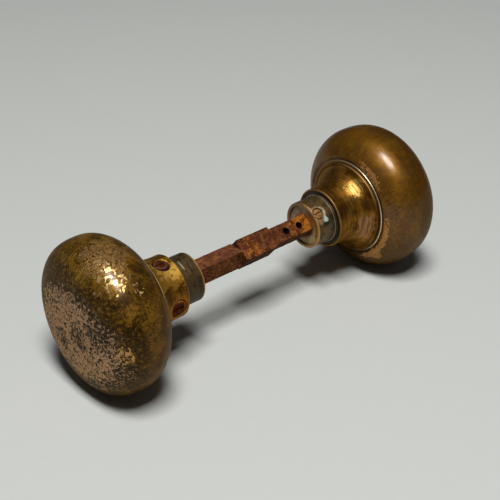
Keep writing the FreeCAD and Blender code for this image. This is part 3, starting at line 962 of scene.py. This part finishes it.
def screw_finish(name, station, degrees, rim_radius, rim_color, middle_color, edge_color,
        crusted=False):
    """A rusty screw: a paler rim round a brown middle, and golden crust on some; the rim carries a
    painted highlight and the edge painted shade.
    """
    it = Finish(name)
    it.color = rusted = it.use(rust, Bloom=0.1)
    fine = it.noise(3, 6, 0.7)
    rough_radius = from_line(it, station, degrees) + (fine - 0.5) * 0.5
    it.paint(fine.step(0.35, 0.6) * 0.5 + 0.4, middle_color)
    # the paler rim: rust with a painted highlight
    it.paint(rough_radius.step(rim_radius - 0.35, rim_radius - 0.15) * 0.85, rim_color)
    if crusted:
        it.paint(it.flecks(1.5, 0.45, 0.1, 2) * 0.85, (0.4, 0.25, 0.1))
        it.paint(it.flecks(1.1, 0.3, 0.05, 7) * 0.85, (0.1, 0.038, 0.012))
    # dark rust beyond the rim, partly painted shade for the gap round the screw
    it.paint(rough_radius.step(rim_radius + 0.05, rim_radius + 0.25) * 0.9, edge_color)
    return it.end(0.65 + fine * 0.2, rusted.out("Height") * 0.6 + fine * 0.4, 0.16, Metallic=0.1,
        Specular_IOR_Level=0.08, Specular_Tint=(0.8, 0.5, 0.4))


def plate_finish():
    """Plain sheet steel, out of sight inside the head."""
    it = Finish("plate_dull_steel", ground=(0.28, 0.25, 0.22))
    fine = it.noise(1.5, 4)
    it.paint(fine.step(0.35, 0.65), (0.4, 0.38, 0.36))
    return it.end(0.4 + fine * 0.2, fine, 0.03, Metallic=0.9)


def floor_finish():
    it = Finish("pale_floor", ground=(0.615, 0.63, 0.6))
    grain = it.noise(0.4, 3, 0.5)
    it.paint(grain, (0.635, 0.65, 0.62))
    return it.end(0.7, grain, 0.02)


head_finishes = {OUTER: outer_head_finish(), INNER: inner_head_finish()}
bell_finishes = {side: bell_finish(side) for side in SIDE_NAMES}
collar_finishes = {side: collar_finish(side) for side in SIDE_NAMES}
bush_finishes = {side: bush_finish(side) for side in SIDE_NAMES}
ring_brass = ring_finish()
spindle_iron = spindle_finish()
neck_screw_finishes = {}
for name, rim, rim_color, middle_color in (
        ("upper", neck_screw_chamfer, (0.16, 0.072, 0.045), (0.04, 0.009, 0.004)),
        ("lower", 0.2, (0.44, 0.15, 0.03), (0.065, 0.014, 0.005))):
    neck_screw_finishes[name] = screw_finish(name + "_screw_rust", neck_screw_station,
        neck_screw_turns[name], neck_screw_radius - rim, rim_color, middle_color,
        (0.018, 0.005, 0.003))
side_screw_finish = screw_finish("side_screw_rust", side_screw_station, inner_turn,
    side_head_radius - 0.5, (0.38, 0.22, 0.08), (0.32, 0.13, 0.035), (0.085, 0.04, 0.014),
    crusted=True)
plate_steel = plate_finish()


# ---- the knobs' pieces ----
def neck_drills():
    """Cutters for the two screw holes in the outer neck."""
    line = cylinder_line(0.5, neck_radius - 0.95, neck_hole_radius, 0.45, 0.45)
    return [drill(line, neck_screw_station, turn, 72) for turn in neck_screw_turns.values()]


def side_drills():
    """Cutters for the side screw's shaft and for the recess of its head."""
    floor = collar_radius - side_head_sink - side_head_height
    shaft = cylinder_line(0.5, collar_radius, hole_radius)
    recess = cylinder_line(floor, collar_radius - 0.3, side_recess_radius, 0.45, 0.4)
    return [drill(shaft, side_screw_station, inner_turn, 48),
        drill(recess, side_screw_station, inner_turn, 64)]


def drills_of(side):
    return neck_drills() if side == OUTER else side_drills()


def head_shell(side, points):
    """Turns a shell of the head; the outer knob's shells are pitted."""
    return turned(side, points, Segments=320, Wave_Height=0.10, Wave_Width=7.0,
        Pit_Depth=0.03 if side == OUTER else 0.0, Pit_Width=0.9)


def head_face(side):
    outside = dome(head_radius, -face_depth, face_power, 0, 96)
    inside = dome(inner_head_radius, shell_wall - face_depth, face_power, 0, 40)
    return head_shell(side, divided([stop[:2] for stop in outside[::-1] + inside], 1.4))


def head_back(side):
    ridge = back_depth * math.sqrt(1 - (ridge_radius / head_radius) ** 2)
    lip = ring_depth + seat_lip
    knee = seat_radius - shell_wall
    lap_radius = inner_head_radius - lap_clearance
    hollow = dome(inner_head_radius - lap_wall, back_depth - shell_wall, 2, knee, 24)
    corners = dome(head_radius, back_depth, 2, ridge_radius, 90)
    corners += [(ridge_radius - 0.45, ridge + 0.22, 0),
        ((ridge_radius + seat_radius) / 2, (ridge + lip) / 2 + 0.5, 0),
        (seat_radius + 0.4, lip + 0.28, 0), (seat_radius, lip, 0.08), (seat_radius, ring_depth, 0),
        (shank_hole, ring_depth, 0), (shank_hole, shell_inside, 0), (knee, shell_inside, 0)]
    corners += hollow[::-1]
    corners += [(hollow[0][0], -lap_length, 0), (lap_radius, -lap_length, 0), (lap_radius, 0, 0)]
    return head_shell(side, softened(corners, 0.7))


def neck_ring(side):
    corners = [(ring_radius, ring_depth, 0.1), (ring_radius, bell_depth, edge_rounding),
        (shank_hole, bell_depth, 0), (shank_hole, ring_depth, 0)]
    return turned(side, softened(corners, 0.5), Segments=320, Wave_Height=0.06, Wave_Width=3.0)


def bell_neck(side):
    seat = flange_radius + fit_clearance
    corners = [(base_radius, bell_depth, 0.08), (base_radius, base_top, edge_rounding),
        (flare_radius + quirk_width, base_top, 0.05),
        (flare_radius + quirk_width / 2, base_top - quirk_depth, 0.08)]
    corners += flare(60)
    corners += [(neck_radius, lip_depth, 0.35), (seat, lip_depth, 0.12), (seat, flange_back, 0),
        (shank_hole, flange_back, 0), (shank_hole, bell_depth + core_height, 0),
        (flare_radius - core_wall, bell_depth, 0)]
    bell = turned(side, softened(corners, 0.35), Segments=288, Line_Height=0.035, Line_Pitch=0.5,
        Wave_Height=0.05, Wave_Width=4.0)
    return cut(outward(bell), neck_drills()) if side == OUTER else bell


def shank(side):
    corners = [(shank_bore, collar_end, 0.15), (shank_bore, shank_tail, 0),
        (rivet_radius - rivet_height / 2, shank_tail, 0.4), (rivet_radius, plate_inside, 0.1),
        (collar_radius, plate_inside, 0), (collar_radius, flange_back, 0),
        (flange_radius, flange_back, 0), (flange_radius, flange_face, 0.12),
        (root_radius, flange_face, 0.1), (root_radius, root_end, 0.2), (collar_radius, root_end, 0.1),
        (collar_radius, collar_end, 0.45)]
    piece = turned(side, softened(corners, 0.4), Segments=224, Line_Height=0.03, Line_Pitch=0.6,
        Wave_Height=0.06, Wave_Width=3.0)
    return cut(outward(piece), drills_of(side))


def square_bush(side):
    radius = shank_bore - press_clearance
    stops = ((0, bush_tail), (radius, bush_tail), (radius, bush_face - 0.2), (radius - 0.2, bush_face),
        (0, bush_face))
    piece = turned(side, divided(stops, 0.4), Segments=160, Wave_Height=0.12, Wave_Width=2.0,
        Pit_Depth=0.08, Pit_Width=1.0)
    hole_ends = sorted(side * (head_station - depth) for depth in (bush_tail - 1, bush_face + 1))
    turn = outer_turn if side == OUTER else inner_turn
    hole = bar_mesh([(station, socket_side) for station in hole_ends], turn, rounding=0.25)
    return cut(outward(piece), [hole, *drills_of(side)])


# ---- the spindle ----
def bar_mesh(stations, degrees, rounding=0.35, per_side=8, step=1.0, **inputs):
    """A square bar through (station, side) stops, with closed flat ends."""
    stops = [(stations[0][0], 0), *[(x, side / 2) for x, side in stations], (stations[-1][0], 0)]
    line = [(x, min(rounding, half * 0.9), half) for x, half in divided(stops, step)]
    return outward(grown(square_sweep, line, Side_Points=per_side, Turn=math.radians(degrees),
        **inputs))


def rusty_bar(stations, degrees, per_side):
    return bar_mesh(stations, degrees, per_side=per_side, step=0.28, Wave_Height=0.16, Wave_Width=2.2,
        Pit_Depth=0.10, Pit_Width=1.0)


def outer_spindle():
    shoulder = hub_left - swivel_gap
    bar = rusty_bar([(-bar_end, bar_side - 0.5), (-bar_end + 0.3, bar_side), (shoulder - 0.3, bar_side),
        (shoulder, bar_side - 0.5)], outer_turn, 26)
    groove_start, groove_end = pin_station - groove_half, pin_station + groove_half
    stops = ((shoulder - 1, 0), (shoulder - 1, stem_radius), (groove_start, stem_radius),
        (groove_start, groove_radius), (groove_end, groove_radius), (groove_end, stem_radius),
        (stem_tip - 0.5, stem_radius), (stem_tip, stem_radius - 0.5), (stem_tip, 0))
    stem = outward(grown(lathe, line_through(stops, 1.0), Segments=72))
    return combined(bar, [stem], "UNION")


def tapped_hole(station):
    """Cutter for a hole through the inner bar, widened at both ends."""
    face = bar_side / 2
    half = [(face - 0.12, hole_radius), (face + 0.13, hole_radius + 0.22),
        (face + 3, hole_radius + 0.22), (face + 3, 0)]
    through = [(-along, radius) for along, radius in half[::-1]] + half
    return drill(line_through(through, 1.0), station, inner_turn, 48)


def inner_spindle():
    bar = rusty_bar([(hub_left, hub_side - 0.6), (hub_left + 0.35, hub_side),
        (hub_right - 0.3, hub_side), (hub_right, hub_side - 0.5), (hub_right + 0.1, bar_side),
        (bar_end - 0.3, bar_side), (bar_end, bar_side - 0.5)], inner_turn, 30)
    bore = cylinder_line(hub_left - 1, stem_tip + 0.4, stem_radius + swivel_clearance)
    pin_hole = cylinder_line(1.0, hub_side, pin_radius + press_clearance)
    return cut(bar, [outward(grown(lathe, bore, Segments=72)),
        *[tapped_hole(station) for station in (side_screw_station, *hole_stations)],
        drill(pin_hole, pin_station, inner_turn, 40)])


# ---- screws and pin ----
def slot_cutter(top):
    """A box that cuts the slot across the end of a screw that stands along X."""
    length = 2 * neck_screw_radius
    corners = [(x, y, z) for x in (top - slot_depth, top + 2)
        for y in (-slot_width / 2, slot_width / 2) for z in (-length, length)]
    faces = [(0, 1, 3, 2), (4, 6, 7, 5), (0, 4, 5, 1), (2, 3, 7, 6), (0, 2, 6, 4), (1, 5, 7, 3)]
    mesh = bpy.data.meshes.new("slot")
    mesh.from_pydata(corners, [], faces)
    return outward(mesh)


def screw(stops, top, station, degrees, seed):
    """A slotted screw: turned along X, pitted, slotted and stood in its place."""
    body = grown(lathe, line_through(stops, 0.3), Segments=88, Wave_Height=0.22, Wave_Width=1.0,
        Pit_Depth=0.16, Pit_Width=0.8, Seed=seed)
    return stood(cut(outward(body), [slot_cutter(top)]), station, degrees)


def neck_screw(degrees):
    lean = math.radians(neck_screw_lean)
    low_end = (bar_side / 2 + neck_point_radius * math.sin(lean)) / math.cos(lean)
    top = bell_radius(head_station + neck_screw_station) - neck_screw_sink
    radius, rim = neck_screw_radius, neck_screw_radius - neck_screw_chamfer
    stops = ((low_end, 0), (low_end, neck_point_radius), (low_end + neck_point_length, radius),
        (top - neck_screw_chamfer, radius), (top - 0.05, rim), (top, rim - 0.08), (top, rim - 0.35),
        (top - 0.2, rim - 0.55), (top - 0.1, 0))
    return screw(stops, top, neck_screw_station, degrees, seed=degrees)


def side_screw():
    top = collar_radius - side_head_sink
    under = top - side_head_height
    stops = ((-side_screw_reach, 0), (-side_screw_reach, side_shaft_radius), (under, side_shaft_radius),
        (under, side_head_radius), (top - 0.4, side_head_radius), (top - 0.1, side_head_radius - 0.35),
        (top, 0.6), (top, 0))
    return screw(stops, top, side_screw_station, inner_turn, seed=21.0)


def swivel_pin():
    tip, top = groove_radius + pin_tip_clearance, hub_side / 2 - 0.06
    stops = ((tip, 0), (tip, pin_radius), (top - 0.12, pin_radius), (top, pin_radius - 0.15), (top, 0))
    pin = grown(lathe, line_through(stops, 0.3), Segments=48, Pit_Depth=0.05, Pit_Width=0.6)
    return stood(pin, pin_station, inner_turn)


for side, name in SIDE_NAMES.items():
    finish_piece(name + "_head_face", head_face(side), head_finishes[side])
    finish_piece(name + "_head_back", head_back(side), head_finishes[side])
    finish_piece(name + "_neck_ring", neck_ring(side), ring_brass)
    finish_piece(name + "_bell_neck", bell_neck(side), bell_finishes[side])
    finish_piece(name + "_shank", shank(side), collar_finishes[side])
    finish_piece(name + "_square_bush", square_bush(side), bush_finishes[side])
    plate_materials = frame["nodes"][name + "_backing_plate"].data.materials
    plate_materials.clear()
    plate_materials.append(plate_steel)
for name, degrees in neck_screw_turns.items():
    finish_piece("outer_neck_screw_" + name, neck_screw(degrees), neck_screw_finishes[name])
finish_piece("inner_side_screw", side_screw(), side_screw_finish)
finish_piece("outer_spindle", outer_spindle(), spindle_iron)
finish_piece("inner_spindle", inner_spindle(), spindle_iron)
finish_piece("swivel_pin", swivel_pin(), spindle_iron)


# ---- floor, light and camera: lengths in metres from here on ----
floor_reach = 3.0
lamp_direction = Vector((-0.20, -0.245, 0.95))
lamp_distance = 1.2
lamp_across, lamp_along = 0.26, 0.5
lamp_power = 14.6
world_level = 0.035
camera_place = Vector((-0.24060, -0.28439, 0.23296))
camera_aim = Vector((0.5488, 0.6463, -0.5302))
camera_lens = 85.3
camera_sensor = 36.0


def add_floor():
    corners = [(x * floor_reach, y * floor_reach, -head_radius * MM)
        for x, y in ((-1, -1), (1, -1), (1, 1), (-1, 1))]
    mesh = bpy.data.meshes.new("floor")
    mesh.from_pydata(corners, [], [(0, 1, 2, 3)])
    mesh.materials.append(floor_finish())
    plane = placed("floor", mesh)


def add_lamp():
    """A soft rectangular lamp that faces the object; its long side lies nearest to Y."""
    lamp = bpy.data.lights.new("soft_lamp", "AREA")
    lamp.shape = "RECTANGLE"
    lamp.size, lamp.size_y, lamp.energy = lamp_across, lamp_along, lamp_power
    back = lamp_direction.normalized()
    long_side = (Vector((0, 1, 0)) - back * back.y).normalized()
    turn = Matrix((long_side.cross(back), long_side, back)).transposed().to_4x4()
    placed("soft_lamp", lamp).matrix_world = Matrix.Translation(back * lamp_distance) @ turn


def add_world():
    scene.world = bpy.data.worlds.new("studio")
    scene.world.use_nodes = True
    background = scene.world.node_tree.nodes["Background"]
    background.inputs["Color"].default_value = (world_level, world_level, world_level, 1)


def add_camera():
    camera = bpy.data.cameras.new("camera")
    camera.lens = camera_lens
    camera.sensor_width = camera_sensor
    turn = camera_aim.to_track_quat("-Z", "Y").to_matrix().to_4x4()
    scene.camera = placed("camera", camera)
    scene.camera.matrix_world = Matrix.Translation(camera_place) @ turn


add_floor()
add_lamp()
add_world()
add_camera()
scene.view_settings.view_transform = "Standard"
